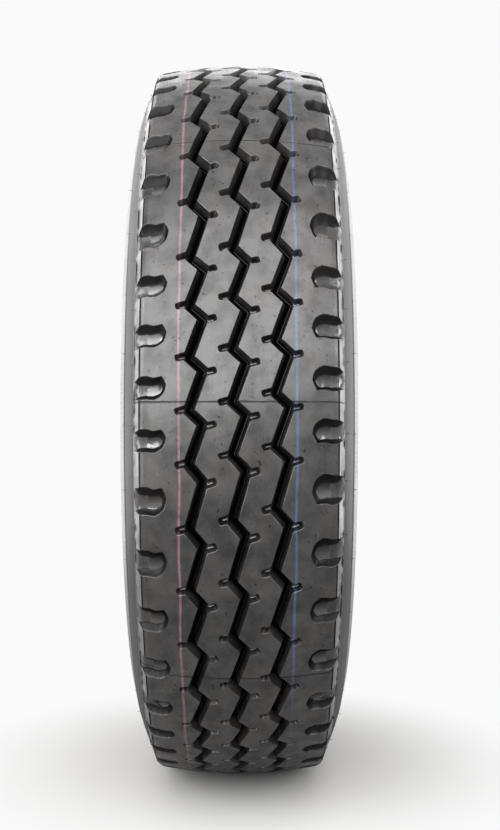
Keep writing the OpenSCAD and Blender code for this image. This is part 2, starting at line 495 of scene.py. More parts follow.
@dataclass(frozen=True)
class Pocket:
    """Open shoulder pocket: sloping walls on three sides, a floor that falls away, and an open mouth."""

    side: int
    pitch: float
    section: Section
    shift: float = 0.459
    step: float = 8.0
    # Outlines from the mouth's near end round the tip to its far end, as distance from the tyre's middle
    # and part of a pitch from the tip. The pockets at higher y lean a little down the pattern
    left: tuple[Pair, ...] = (
        (123.9, -0.085), (118.0, -0.139), (114.5, -0.159), (107.5, -0.163), (100.5, -0.127),
        (94.5, -0.143), (90.2, -0.157), (87.2, -0.095), (84.6, 0.0), (85.8, 0.095), (88.2, 0.182),
        (92.4, 0.240), (98.2, 0.288), (103.5, 0.288), (108.6, 0.276), (115.6, 0.288), (123.9, 0.288),
    )  # fmt: skip
    right: tuple[Pair, ...] = (
        (123.9, -0.145), (118.0, -0.185), (114.5, -0.200), (107.5, -0.203), (100.5, -0.178),
        (94.5, -0.183), (90.2, -0.192), (87.2, -0.110), (84.6, 0.0), (85.8, 0.095), (88.2, 0.182),
        (92.4, 0.240), (98.2, 0.285), (103.5, 0.280), (108.6, 0.262), (115.6, 0.255), (123.9, 0.205),
    )  # fmt: skip
    # Floor as (distance from the middle, radius): a gentle fall, a steeper one from 107 mm, and from
    # 120 mm a steep one to the mouth
    floor_line: tuple[Pair, ...] = (
        (84.0, 528.4), (106.4, 523.2), (107.8, 522.7), (117.6, 519.0), (120.4, 517.2), (123.9, 512.0),
    )  # fmt: skip
    # Insets of the rim and the lip from the outline, and part of the depth at the lip
    rim: float = -0.3
    lip: float = 0.25
    lip_part: float = 0.035
    wall_slope: float = 0.44
    # How much gentler the wall is that starts each pocket in the pattern's run
    first_wall: float = 0.9
    # Part of the depth at the walls' foot. The foot and the fillet's end lie in from the lip by these
    # shares of the wall's slope times the depth
    foot_part: float = 0.9
    foot_width: float = 0.9
    fillet_width: float = 1.45
    # Distance from the middle where the inner end's move towards the mouth has faded out
    end_y: float = 110.0

    def floor(self, y: Array) -> Array:
        """Radius of the pocket's floor at a distance y from the middle."""
        return np.interp(np.abs(y), *np.array(self.floor_line).T)

    def folds(self) -> list[float]:
        """Distances from the middle where the floor changes its slope."""
        return [y for y, _ in self.floor_line[1:-1]]

    def chain(self, inset: float, slope: float) -> Array:
        """Outline moved inwards, with a point at each of the shoulder's corners.

        The move is the inset plus the slope times the pocket's depth there. It is full at the two walls
        across the run, in between goes linearly from one to the other, and is greater at the first one.
        The inner end moves towards the mouth, and that part fades out at the distance end_y.

        Args:
            inset: distance moved everywhere.
            slope: distance moved for each millimetre of depth.

        Returns:
            (n, 2) points, in the tread's run and distance from the middle, for the side at higher y.
        """
        line = np.array(self.right if self.side > 0 else self.left)[:, ::-1] * [-self.pitch, 1.0]
        u, y = subdivide(line, self.step).T
        deep = np.maximum(self.section.surface(y) - self.floor(y), 0)
        share = (u - u.min()) / np.ptp(u)
        low, high = (1 + self.first_wall * (side == self.side) for side in (1, -1))
        across = (inset + slope * low * deep) * (1 - share) - (inset + slope * high * deep) * share
        inner = np.clip((self.end_y - y) / (self.end_y - y.min()), 0, 1)
        return self.at_corners(np.column_stack([u + across, y + (inset + slope * deep) * inner]))

    def at_corners(self, line: Array) -> Array:
        """Add a point wherever a line passes one of the shoulder's or the floor's corners.

        Args:
            line: (n, 2) places along the run and distances from the middle.

        Returns:
            The line with the points between its own.
        """
        for level in (*self.section.shoulder()[:-1, 0], *self.folds()):
            crossed = np.flatnonzero((line[:-1, 1] - level) * (line[1:, 1] - level) < 0)
            a, b = line[crossed], line[crossed + 1]
            hits = a + (b - a) * ((level - a[:, 1]) / (b[:, 1] - a[:, 1]))[:, None]
            hits[:, 1] = level
            line = np.insert(line, crossed + 1, hits, axis=0)
        return line

    def placed(self, line: Array) -> Array:
        """A line of the side at higher y, put on this side and at this pocket's phase."""
        return line * [self.side, self.side] + [self.side * self.shift % 1 * self.pitch, 0.0]

    def draw(self, plan: Plan) -> Array:
        """Add the pocket's lines to the plan.

        Args:
            plan: the pitch's plan.

        Returns:
            The outline at its rim, as a polygon.
        """
        rim, lip = self.chain(self.rim, 0.0), self.chain(self.lip, 0.0)
        foot = self.chain(self.lip, self.wall_slope * self.foot_width)
        floor = self.chain(self.lip, self.wall_slope * self.fillet_width)
        plan.add(self.placed(rim), row=Row.RIM)
        plan.add(self.placed(lip), part=self.lip_part, row=Row.LIP)
        plan.add(self.placed(foot), part=self.foot_part)
        plan.add(self.placed(floor), part=1.0)
        plan.add(subdivide(self.placed(lip[[0, -1]]), self.step), row=Row.RIM)
        for level in self.folds():
            hits = floor[np.abs(floor[:, 1] - level) < 1e-9]
            plan.add(subdivide(self.placed(hits), self.step), part=1.0, row=Row.FOLD)
        return self.placed(rim)

    def across(self, level: float) -> Array:
        """Places along the tread where the rim passes a distance from the middle, lower one first."""
        rim = self.chain(self.rim, 0.0)
        return np.sort(self.placed(rim[np.abs(rim[:, 1] - level) < 1e-9])[:, 0])


@dataclass(frozen=True)
class Tile:
    """One pitch of the tread, cut into triangles in the flat.

    It holds the (n, 2) points along and across the tread, the depth of each, its part of the way down to
    a pocket's floor and its row, the triangles, and each point's twin one pitch back, or -1.
    """

    flat: Array
    depth: Array
    part: Array
    row: Array
    tris: Array
    twin: Array


@dataclass(frozen=True)
class PolishAndPaintedShade:
    """Strengths that the rubber's finish reads on the tread: the mould's polish, and painted shade that
    blackens walls, lip lines and the start of pocket floors.
    """

    # Polish of a pocket's floor where it starts and where it ends in the run, of a slot's floor, and of
    # the fillets below the grooves' banks at higher y
    floor_polish: Pair = (0.35, 1.0)
    slot_polish: float = 0.42
    fillet_polish: float = 0.56
    # Painted shade: darkness of a pocket's first wall, of its other walls, of a slot's walls, of the lips,
    # and of a pocket's floor where it starts, nearer to the middle than floor_y
    first_wall: float = 1.0
    other_walls_shade: float = 0.75
    slot_walls_shade: float = 0.28
    lips_shade: float = 0.17
    floor_start_shade: float = 0.25
    floor_y: float = 107.0
    # Where the floors at lower and at higher y are half polished, from the pocket's tip, and the length
    # that the change takes, as parts of a pitch
    half_way: Pair = (0.095, -0.01)
    change: float = 0.2


@dataclass
class Tread:
    """Ribs, grooves, slots, pockets and shoulders, one pitch repeated round the tyre."""

    pattern: Pattern
    section: Section
    polish_and_shade: PolishAndPaintedShade = PolishAndPaintedShade()
    grid: float = 9.0
    ring_parts: int = 8
    under_r: float = 514.0
    under_y: float = 100.0
    # The line where a pitch starts jumps back by this part of a pitch, at this distance past the middle,
    # so that it misses the pockets at higher y
    jump: float = 0.25
    jump_y: float = 84.0
    # Reach of the fill points across the tread, and the part of the grid that they keep from every line
    fill_y: float = 110.0
    fill_gap: float = 0.4

    @property
    def pitch(self) -> float:
        """Mean length of a pitch at the tread surface."""
        return 2 * math.pi * self.section.outer_r / self.pattern.count

    def start_line(self, grooves: list[Groove], plan: Plan) -> Array:
        """Line across the tread where a pitch starts, through every point that lies on it already.

        Args:
            grooves: the grooves, in order of y.
            plan: the plan with the grooves and pockets drawn.

        Returns:
            (n, 2) points in order of y.
        """
        foot = self.section.bevel_foot[0]
        levels = self.section.shoulder()[:-1, 0]
        left = [[0.0, -foot], *[[0.0, -y] for y in levels[::-1]], [0.0, -self.jump_y]]
        right = [[-self.jump * self.pitch, y] for y in (self.jump_y, *levels, foot)]
        points = np.concatenate(plan.points)
        banks = [points[np.abs(points[:, 0] - g.start) < 1e-6] for g in grooves]
        banks = [b[np.abs(b[:, 1] - g.index * g.spacing) < g.width] for b, g in zip(banks, grooves)]
        mid = np.concatenate([b[np.argsort(b[:, 1])] for b in banks])
        line = np.concatenate([left, mid, right])
        apart = np.append(True, np.linalg.norm(np.diff(line, axis=0), axis=1) > 1e-6)
        return line[apart]

    def plan(self) -> tuple[Plan, Array, Array]:
        """Draw one pitch.

        Returns:
            The plan, the line where the pitch starts, and rib points that fill the spaces.
        """
        plan = Plan()
        grooves = [Groove(i, self.pitch) for i in (-1, 0, 1)]
        cuts = [g.draw(plan) for g in grooves]
        pockets = [Pocket(side, self.pitch, self.section) for side in (-1, 1)]
        cuts += [p.draw(plan) for p in pockets]
        start = self.start_line(grooves, plan)
        for pocket, first in zip(pockets, (0.0, -self.jump * self.pitch)):
            for level in self.section.shoulder()[:-1, 0]:
                near, far = pocket.across(level)
                y = pocket.side * level
                for a, b in ((first, near), (far, first + self.pitch)):
                    plan.add(subdivide(np.array([[a, y], [b, y]]), self.grid), row=Row.FOLD)
            y = pocket.side * self.section.bevel_foot[0]
            ring = first + self.pitch * np.arange(self.ring_parts + 1) / self.ring_parts
            plan.add(np.column_stack([ring, np.full(len(ring), y)]))
        border = np.concatenate([start, start[::-1] + [self.pitch, 0.0]])
        fill = self.fill_points()
        starts, ends = plan.stretches()
        starts = np.concatenate([starts, border])
        ends = np.concatenate([ends, np.roll(border, -1, axis=0)])
        good = inside(fill, border) & (distance_to(fill, starts, ends) > self.fill_gap * self.grid)
        for cut in cuts:
            good &= ~inside(fill, cut)
        return plan, start, fill[good]

    def fill_points(self) -> Array:
        """Points of a staggered grid that covers more than one pitch.

        Every other row across the tread is moved along by half the grid's step.

        Returns:
            (n, 2) points along and across the tread.
        """
        reach = 1.2 * self.pitch
        cols = np.arange(-reach, reach, self.grid)
        across = np.arange(-self.fill_y, self.fill_y + 1, self.grid * 0.9)
        u, y = np.meshgrid(cols, across)
        u = u + (np.arange(len(across)) % 2 * self.grid / 2)[:, None]
        return np.column_stack([u.ravel(), y.ravel()])

    def tile(self) -> Tile:
        """Triangulate one pitch.

        Returns:
            The pitch's points, with what the plan says of each, and its triangles.
        """
        plan, start, fill = self.plan()
        end = start + [self.pitch, 0.0]
        points = np.concatenate([*plan.points, start, end, fill])
        bare = np.zeros(len(points) - plan.size, int)
        depth, part, row = (np.concatenate([*own, bare]) for own in (plan.depths, plan.parts, plan.rows))
        n = len(start)
        ids = plan.size + np.arange(n)
        border = [np.column_stack([i[:-1], i[1:]]) for i in (ids, ids + n)]
        edges = np.concatenate([*plan.lines, *border])
        made = delaunay_2d_cdt([Vector(p) for p in points], edges.tolist(), [], 1, 1e-5)
        flat = np.array([v[:] for v in made[0]])
        tris = np.array(made[2])
        first = np.array([o[0] if o else -1 for o in made[3]])
        if (first < 0).any():
            log.warning("%d points of the plan have no depth of their own", (first < 0).sum())
        outline = np.concatenate([start, end[::-1]])
        tris = tris[inside(flat[tris].mean(axis=1), outline)]
        gap = np.linalg.norm(flat[:, None] - (flat + [self.pitch, 0.0])[None], axis=2)
        twin = np.where(gap.min(axis=1) < 1e-3, gap.argmin(axis=1), -1)
        return Tile(flat, depth[first], part[first], row[first], tris, twin)

    def build(self) -> bpy.types.Object:
        """Make the tread: repeat the pitch, join its ends, and close it with a band inside the rubber.

        A point's angle comes from its phase, and its radius is the uncut surface's less its depth, less
        its part of the way down to a pocket's floor.

        Returns:
            The tread's object.
        """
        tile = self.tile()
        flat, count, n = tile.flat, self.pattern.count, len(tile.flat)
        surface = self.section.surface(flat[:, 1])
        floor = Pocket(1, self.pitch, self.section).floor(flat[:, 1])
        radius = surface - tile.depth - tile.part * np.maximum(surface - floor, 0)
        tiles = np.arange(count)[:, None]
        angle = self.pattern.angle(flat[:, 0] / self.pitch + tiles)
        verts = turned(radius, flat[:, 1], angle).reshape(-1, 3)
        joined = np.maximum(tile.twin, 0) + (tiles + 1) % count * n
        ids = np.where(tile.twin >= 0, joined, np.arange(n) + tiles * n)
        rings = [self.ring(flat, side, ids) for side in (-1, 1)]
        rings[1] = np.roll(rings[1], -round(self.jump * self.ring_parts))
        band, band_faces = self.band(verts, rings)
        faces = np.concatenate([ids[:, tile.tris].reshape(-1, 3), band_faces])
        verts = np.concatenate([verts, band])
        used, compact = np.unique(faces, return_inverse=True)
        rows = self.spread(tile.row, len(band))[used]
        piece = mesh_piece("tread", self.section.standing(verts[used]), compact.reshape(faces.shape), rows)
        point_values(piece, "recess", self.spread(surface - radius, len(band))[used])
        # polished is the mould's gloss; wall is painted shade
        for name, value in self.polish_and_painted_shade(tile).items():
            point_values(piece, name, self.spread(value, len(band))[used])
        log.info("tread: %d points and %d triangles, %d a pitch", len(used), len(faces), len(tile.tris))
        return piece

    def spread(self, values: Array, more: int) -> Array:
        """One pitch's values for every pitch, and noughts for more points after them."""
        return np.concatenate([np.tile(values, self.pattern.count), np.zeros(more, values.dtype)])

    def polish_and_painted_shade(self, tile: Tile) -> dict[str, Array]:
        """How polished each point of a pitch is, and how much painted shade darkens it.

        A pocket's floor gains polish and loses its painted shade in a straight line down the run. The values
        of all rows are added up, because no point has two of them.

        Args:
            tile: the pitch.

        Returns:
            Name of the attribute to its value at each point.
        """
        polish_and_shade, flat, out = self.polish_and_shade, tile.flat, np.abs(tile.flat[:, 1])
        fillet, slot_floor, slot_foot = (
            np.isclose(tile.depth, size[1]) for size in (Groove.fillet, Groove.slot_floor, Groove.slot_foot)
        )
        tip = np.sign(flat[:, 1]) * Pocket.shift % 1 * self.pitch
        foot, floor = np.isclose(tile.part, Pocket.foot_part), tile.part > 0.97
        centre = tip + np.where(flat[:, 1] > 0, polish_and_shade.half_way[1], polish_and_shade.half_way[0]) * self.pitch
        down = np.clip(0.5 + (flat[:, 0] - centre) / (polish_and_shade.change * self.pitch), 0, 1)
        first, last = polish_and_shade.floor_polish
        polished = (first + (last - first) * down) * floor
        polished += polish_and_shade.slot_polish * slot_floor + polish_and_shade.fillet_polish * (fillet & self.right_bank(flat))
        # wall: painted shade on the pockets' and slots' walls, the lips and the start of a pocket's floor
        wall = foot * np.where(flat[:, 0] < tip, polish_and_shade.first_wall, polish_and_shade.other_walls_shade)
        wall += polish_and_shade.slot_walls_shade * slot_foot + polish_and_shade.lips_shade * (tile.row == Row.LIP.value)
        wall += polish_and_shade.floor_start_shade * (1 - down) * floor * (out < polish_and_shade.floor_y)
        return {"polished": polished, "wall": wall}

    def right_bank(self, flat: Array) -> Array:
        """Tell which points lie past the middle line of the nearest groove, towards higher y.

        Args:
            flat: (n, 2) points of the plan.

        Returns:
            (n,) truth values.
        """
        nearest = np.round(flat[:, 1] / Groove.spacing).clip(-1, 1)
        past = np.zeros(len(flat), bool)
        for index in (-1, 0, 1):
            groove = Groove(index, self.pitch)
            middle = groove.bank(groove.width / 2, 1)
            past |= (nearest == index) & (flat[:, 1] > np.interp(flat[:, 0], *middle.T))
        return past

    def ring(self, flat: Array, side: int, ids: Array) -> Array:
        """Points round the foot of one bevel.

        Args:
            flat: (n, 2) points of the plan.
            side: -1 for the bevel at lower y, 1 for the other.
            ids: (pitches, n) number of each point in the tread.

        Returns:
            Their numbers in the order of the pattern.
        """
        foot = np.flatnonzero(np.abs(flat[:, 1] - side * self.section.bevel_foot[0]) < 1e-4)
        foot = foot[np.argsort(flat[foot, 0])][:-1]
        return ids[:, foot].ravel()

    def band(self, verts: Array, rings: list[Array]) -> tuple[Array, Array]:
        """Close the tread on the inside, from one bevel's foot to the other's.

        Args:
            verts: the tread's points.
            rings: the two rings at the bevels' feet, point by point at the same angles.

        Returns:
            New points and the triangles that face the axis.
        """
        at = verts[rings[0]]
        angle = np.arctan2(at[:, 2], at[:, 0])
        rows = [turned(self.under_r, y, angle) for y in (-self.under_y, self.under_y)]
        new = len(verts) + np.arange(2 * len(angle)).reshape(2, -1)
        return np.concatenate(rows), halves(cells(np.vstack([rings[0], new, rings[1]])))


@dataclass
class Casing:
    """Sidewalls, beads and inner liner, one closed profile turned round the axis.

    Its points are (radius, distance from the middle).
    """

    section: Section
    columns: int = 288
    widest: Pair = (400.0, 150.0)
    face: Pair = (295.2, 105.0)
    seat_r: float = 257.2
    heel_r: float = 7.0
    toe: Pair = (264.2, 65.0)
    toe_chamfer: float = 7.0
    liner: Pair = (509.5, 133.0)
    liner_power: float = 2.6
    step: float = 5.0
    # Radius where the sidewall's even points start
    first_r: float = 509.4
    # The outer side starts with two points inside the tread, given from the bevel's foot
    tuck: tuple[Pair, Pair] = ((2.7, -2.0), (0.6, -0.25))
    # Moulded rings on the sidewall: radius, half width and height, or depth where negative
    rings: tuple[Triple, ...] = (
        (507.0, 1.6, -0.9), (474.0, 1.4, -1.0), (470.6, 1.3, 0.5), (441.0, 2.0, 0.5), (352.0, 2.4, 0.9),
        (344.0, 2.4, 0.9), (322.0, 3.5, 1.6),
    )  # fmt: skip

    @staticmethod
    def arc(r: Array, top: Pair, by: Pair) -> Array:
        """Distance from the middle at radius r, on a circle that is widest at top and passes by a point.

        The circle's radius is the sum of the squared run and rise over twice the rise.

        Args:
            r: radii.
            top: radius and distance where the arc is widest.
            by: radius and distance of the point that it passes.

        Returns:
            Distances.
        """
        run, rise = by[0] - top[0], top[1] - by[1]
        rad = (run**2 + rise**2) / (2 * rise)
        return top[1] - rad + np.sqrt(rad**2 - (r - top[0]) ** 2)

    def outside(self, r: Array) -> Array:
        """Distance of the sidewall's outer face from the middle, without the rings.

        Args:
            r: radii.

        Returns:
            Distances, on one arc above the widest place and on another below it.
        """
        middle = self.widest[0]
        upper = self.arc(np.maximum(r, middle), self.widest, self.section.bevel_foot[::-1])
        return np.where(r > middle, upper, self.arc(np.minimum(r, middle), self.widest, self.face))

    def outer_side(self) -> Array:
        """Outer side, from inside the bevel's foot down to the bead's toe.

        Returns:
            (n, 2) points: even ones with seven more across each ring, the bead's face, its heel as a
            quarter circle, the seat and the toe's chamfer.
        """
        foot = np.array(self.section.bevel_foot[::-1])
        even = np.arange(self.first_r, self.face[0], -self.step)
        near = [place + half * np.linspace(-2.1, 2.1, 7) for place, half, _ in self.rings]
        r = np.unique(np.round(np.concatenate([even, *near]), 2))[::-1]
        r = r[(r < foot[0] - 0.5) & (r > self.face[0] + 0.5)]
        wall = np.column_stack([r, self.outside(r)])
        a = np.radians(np.linspace(90, 0, 7))
        heel_r = self.seat_r + self.heel_r * (1 - np.cos(a))
        heel = np.column_stack([heel_r, self.face[1] - self.heel_r * (1 - np.sin(a))])
        bead = subdivide(np.array([self.face, heel[0]]), self.step)
        chamfer = [self.seat_r, self.toe[1] + self.toe_chamfer]
        seat = subdivide(np.array([heel[-1], chamfer, self.toe]), self.step)
        return np.concatenate([foot + self.tuck, wall, bead, heel[1:], seat[1:]])

    def inner_side(self) -> Array:
        """Inner side, from past the bead's toe up to the liner's crown.

        Returns:
            (n, 2) points: the inner sidewall's arc, and a quarter of a rounded rectangle whose two
            coordinates are a cosine and a sine to one power.
        """
        middle, power = self.widest[0], 2 / self.liner_power
        r = np.arange(self.toe[0] + self.step, middle, self.step * 2)
        wall = np.column_stack([r, self.arc(r, (middle, self.liner[1]), self.toe)])
        a = np.radians(np.linspace(90, 0, 20))
        crown_r = middle + (self.liner[0] - middle) * np.cos(a) ** power
        return np.concatenate([wall, np.column_stack([crown_r, self.liner[1] * np.sin(a) ** power])])

    def relief(self, r: Array) -> Array:
        """Height that the mould's rings add to the outer side.

        Each ring is a bell curve of the radius, exp(-((r - place) / half width)^2) times its height.

        Args:
            r: radii.

        Returns:
            Height added outwards at each radius.
        """
        return sum(h * np.exp(-(((r - place) / half) ** 2)) for place, half, h in self.rings)

    def build(self) -> bpy.types.Object:
        """Turn the closed profile round the axis.

        Returns:
            The casing's object.
        """
        outer, inner = self.outer_side(), self.inner_side()
        outer[:, 1] = np.minimum(outer[:, 1] + self.relief(outer[:, 0]), self.widest[1])
        half = np.concatenate([outer, inner])
        loop = np.concatenate([half, half[-2::-1] * [1, -1]])
        kind = np.concatenate([np.zeros(len(outer)), np.ones(2 * len(inner) - 1), np.zeros(len(outer))])
        angle = 2 * np.pi * np.arange(self.columns) / self.columns
        verts = turned(loop[:, 0], loop[:, 1], angle[:, None]).reshape(-1, 3)
        faces = cells(np.arange(len(verts)).reshape(self.columns, -1), closed=True)[:, [0, 3, 2, 1]]
        piece = mesh_piece("casing", self.section.standing(verts), faces)
        point_values(piece, "liner", np.tile(kind, self.columns))
        log.info("casing: %d points and %d quads", len(verts), len(faces))
        return piece


@dataclass(frozen=True)
class Flash:
    """Thin wavy fin of rubber round both bevels' feet, where the tread's mould meets the sidewalls'."""

    section: Section
    columns: int = 1440
    thick: float = 0.3
    sunk: float = 0.9
    lean: float = 38.0
    # Waves round the tyre on the side at lower y and on the other, with their height and their middle
    waves: tuple[tuple[int, ...], tuple[int, ...]] = ((5, 17, 39, 83, 161), (7, 19, 43, 91, 173))
    swing: float = 0.42
    middle: float = 0.55
    between: Pair = (0.15, 1.6)
    # Side, angle, half width in degrees and height of a torn burr
    burr: tuple[int, float, float, float] = (1, -50.5, 0.35, 2.6)

    def heights(self, angle: Array, side: int) -> Array:
        """Height of the fin: sines of the angle added up, held between two heights, and the burr.

        Args:
            angle: angles in degrees.
            side: -1 or 1.

        Returns:
            Heights in millimetres.
        """
        a = np.radians(angle)
        wave = sum(np.sin(n * a + n * n) for n in self.waves[side > 0]) * self.swing + self.middle
        at, place, half, height = self.burr
        torn = height * np.exp(-(((angle - place) / half) ** 2)) * (side == at)
        return np.clip(wave, *self.between) + torn

    def build(self) -> bpy.types.Object:
        """Make one closed ring a side, four points in its section.

        Returns:
            The fins' object.
        """
        foot_y, foot_r = self.section.bevel_foot
        angle = np.arange(self.columns) * 360 / self.columns - 180
        out = np.array([math.cos(math.radians(self.lean)), math.sin(math.radians(self.lean))])
        across = np.array([-out[1], out[0]]) * self.thick / 2
        ring = np.arange(4 * self.columns).reshape(-1, 4)
        verts, faces = [], []
        for first, side in ((0, -1), (ring.size, 1)):
            tip = self.heights(angle, side)[:, None] * out
            root = np.broadcast_to(-self.sunk * out, tip.shape)
            rows = np.stack([root + 2 * across, tip + across, tip - across, root - 2 * across], 1)
            rows = rows + [foot_y - 0.2, foot_r]
            points = turned(rows[..., 1], side * rows[..., 0], np.radians(angle)[:, None])
            verts.append(points.reshape(-1, 3))
            faces.append(cells(ring + first, closed=True)[:, ::side])
        piece = mesh_piece("flash", np.concatenate(verts), np.concatenate(faces))
        log.info("flash: %d points", len(piece.data.vertices))
        return piece


@dataclass(frozen=True)
class SpewHairs:
    """Short bent hairs of rubber where the sidewall moulds' vents were, on two rings of each side."""

    casing: Casing
    # Radius of the ring and number of hairs on it
    rings: tuple[tuple[float, int], ...] = ((503.0, 45), (471.0, 36))
    radius: float = 0.42
    taper: float = 0.55
    length: Pair = (1.5, 4.5)
    # Sideways bend at the tip, as a part of the length
    curl: Pair = (0.1, 0.75)
    # Spread of the hairs round the ring, in radians
    stray: float = 0.012
    sunk: float = 1.0
    rows: int = 6
    sides: int = 6
    seed: int = 7

    def build(self) -> bpy.types.Object:
        """Make every hair as a closed, tapered tube.

        A hair's middle line starts under the surface, goes straight out and bends sideways with the
        square of the way along. Each row is a circle round it, and both ends are closed by a point.

        Returns:
            The hairs' object.
        """
        dice = np.random.default_rng(self.seed)
        ring_r = np.concatenate([np.full(2 * n, r) for r, n in self.rings])
        side = np.concatenate([np.repeat([-1, 1], n) for _, n in self.rings])
        evenly = np.concatenate([np.tile(np.arange(n) / n, 2) for _, n in self.rings])
        count = len(ring_r)
        a = 2 * np.pi * evenly + dice.normal(0, self.stray, count)
        # The sidewall's slope, over one millimetre of radius
        slope = self.casing.outside(ring_r + 0.5) - self.casing.outside(ring_r - 0.5)
        radial = turned(1.0, 0.0, a)
        along = np.column_stack([-np.sin(a), np.zeros(count), np.cos(a)])
        axial = np.column_stack([np.zeros(count), side, np.zeros(count)])
        out = unit(axial - slope[:, None] * radial)
        other = np.cross(out, along)
        base = ring_r[:, None] * radial + self.casing.outside(ring_r)[:, None] * axial
        turn = dice.uniform(0, 2 * np.pi, count)[:, None]
        bend = np.cos(turn) * along + np.sin(turn) * other
        length = dice.uniform(*self.length, count)[:, None]
        curl = dice.uniform(*self.curl, count)[:, None]
        s = np.linspace(0, 1, self.rows)[:, None, None]
        line = base - self.sunk * out + s * (length + self.sunk) * out + s**2 * curl * length * bend
        spin = 2 * np.pi * np.arange(self.sides)[:, None, None, None] / self.sides
        wide = self.radius * (1 - self.taper * s)
        tube = line + wide * (np.cos(spin) * along + np.sin(spin) * other)
        ends = np.stack([line[0] - 0.2 * out, line[-1] + 0.15 * out], 1)
        verts = np.concatenate([tube.transpose(2, 1, 0, 3).reshape(count, -1, 3), ends], 1)
        ids = np.arange(self.rows * self.sides).reshape(self.rows, self.sides)
        first, last = np.full(self.sides, ids.size), np.full(self.sides, ids.size + 1)
        root = np.column_stack([first, ids[0], np.roll(ids[0], -1)])
        tip = np.column_stack([last, np.roll(ids[-1], -1), ids[-1]])
        hair = np.concatenate([halves(cells(ids)), root, tip])
        shift = np.arange(count)[:, None, None] * verts.shape[1]
        piece = mesh_piece("spew_hairs", verts.reshape(-1, 3), (hair + shift).reshape(-1, 3))
        log.info("spew_hairs: %d hairs", count)
        return piece


class Nodes:
    """Node tree of a material or of the world."""

    def __init__(self, owner: bpy.types.Material | bpy.types.World) -> None:
        """Start with an empty tree."""
        owner.use_nodes = True
        self.tree = owner.node_tree
        self.tree.nodes.clear()

    def add(
        self, kind: str, inputs: dict | tuple | list = (), out: int | str | slice = 0, **settings: object
    ) -> Socket | list[Socket] | None:
        """Add a node with its settings, values and links.

        Args:
            kind: the node's type, without the ShaderNode in front of it.
            inputs: values or other nodes' outputs, in the sockets' order or by their names or numbers.
            out: number or name of the output that is wanted, or a slice of them.
            settings: the node's own properties.

        Returns:
            That output, or None where the node has no outputs.
        """
        made = self.tree.nodes.new(f"ShaderNode{kind}")
        for name, value in settings.items():
            setattr(made, name, value)
        for name, value in inputs.items() if isinstance(inputs, dict) else enumerate(inputs):
            if isinstance(value, Socket):
                self.tree.links.new(value, made.inputs[name])
            else:
                made.inputs[name].default_value = value
        return made.outputs[out] if made.outputs else None


class Ground(Nodes):
    """Node tree of one rubber, with the places on its piece that the patterns read."""

    def __init__(self, mat: bpy.types.Material) -> None:
        """Start with the object's coordinates, in metres, and the angle above the horizontal."""
        super().__init__(mat)
        self.place = self.add("TexCoord", out="Object")
        self.x, self.y, self.z = self.add("SeparateXYZ", (self.place,), out=slice(3))
        self.turn = self.add("Math", (self.z, self.x), operation="ARCTAN2")

    def radius(self) -> Socket:
        """Work out the distance from the axis: the root of x squared and z squared, times 1000.

        Returns:
            The distance in millimetres.
        """
        squares = [self.add("Math", (side, side), operation="MULTIPLY") for side in (self.x, self.z)]
        root = self.add("Math", (self.add("Math", squares, operation="ADD"),), operation="SQRT")
        return self.add("Math", (root, 1000.0), operation="MULTIPLY")

    def away(self, angle: float) -> Socket:
        """Turn from a place round the tyre, given in degrees, as radians from 0 to pi.

        Args:
            angle: the place's angle above the horizontal.

        Returns:
            The turn, without a sign.
        """
        gap = self.add("Math", (self.turn, math.radians(angle)), operation="SUBTRACT")
        gap = self.add("Math", (gap, math.pi, -math.pi), operation="WRAP")
        return self.add("Math", (gap,), operation="ABSOLUTE")

    def band(self, value: Socket, bounds: Pair, soft: float, level: float = 1.0) -> Socket:
        """A level between two bounds and 0 outside them, with a slope across each bound.

        Args:
            value: what is looked at.
            bounds: lower and upper bound.
            soft: reach of a slope to each side of its bound.
            level: the level.

        Returns:
            The level, or the part of it that is left.
        """
        low, high = bounds
        rise = self.add("MapRange", (value, low - soft, low + soft))
        fall = self.add("MapRange", (value, high - soft, high + soft, level, 0.0))
        return self.add("Math", (rise, fall), operation="MULTIPLY")


@dataclass(frozen=True)
class Patches:
    """Cloudy patches of one size: noise from 0 to 1, carried from a range of its own onto strengths.

    The size is the width of the coarsest grains in millimetres, and the scale is 1000 over it.
    """

    size: float
    detail: float = 2.0
    noise: Pair = (0.0, 1.0)
    strength: Pair = (0.0, 1.0)

    def draw(self, ground: Ground, place: Socket) -> Socket:
        """Draw the patches.

        Args:
            ground: the rubber's nodes.
            place: coordinates in metres.

        Returns:
            Their strength at the place.
        """
        values = {"Vector": place, "Scale": 1000 / self.size, "Detail": self.detail}
        cloudy = ground.add("TexNoise", values, out="Fac")
        return ground.add("MapRange", (cloudy, *self.noise, *self.strength))


class Finish(Enum):
    """Which piece a rubber is for."""

    TREAD = "tread"
    CASING = "casing"
    TRIM = "trim"


@dataclass(frozen=True)
class Stripe:
    """Painted identification line round the tread.

    It sways to both sides of its place, and is rubbed thin within worn[1] degrees of the angle worn[0].
    """

    y: float
    colour: str
    worn: Pair
    width: float = 2.8
    sway: Patches = Patches(83.3, 1.0, (0.2, 0.8), (-1.6, 1.6))
    wear: Patches = Patches(3.85, 2.0, (0.28, 0.46), (0.45, 1.0))


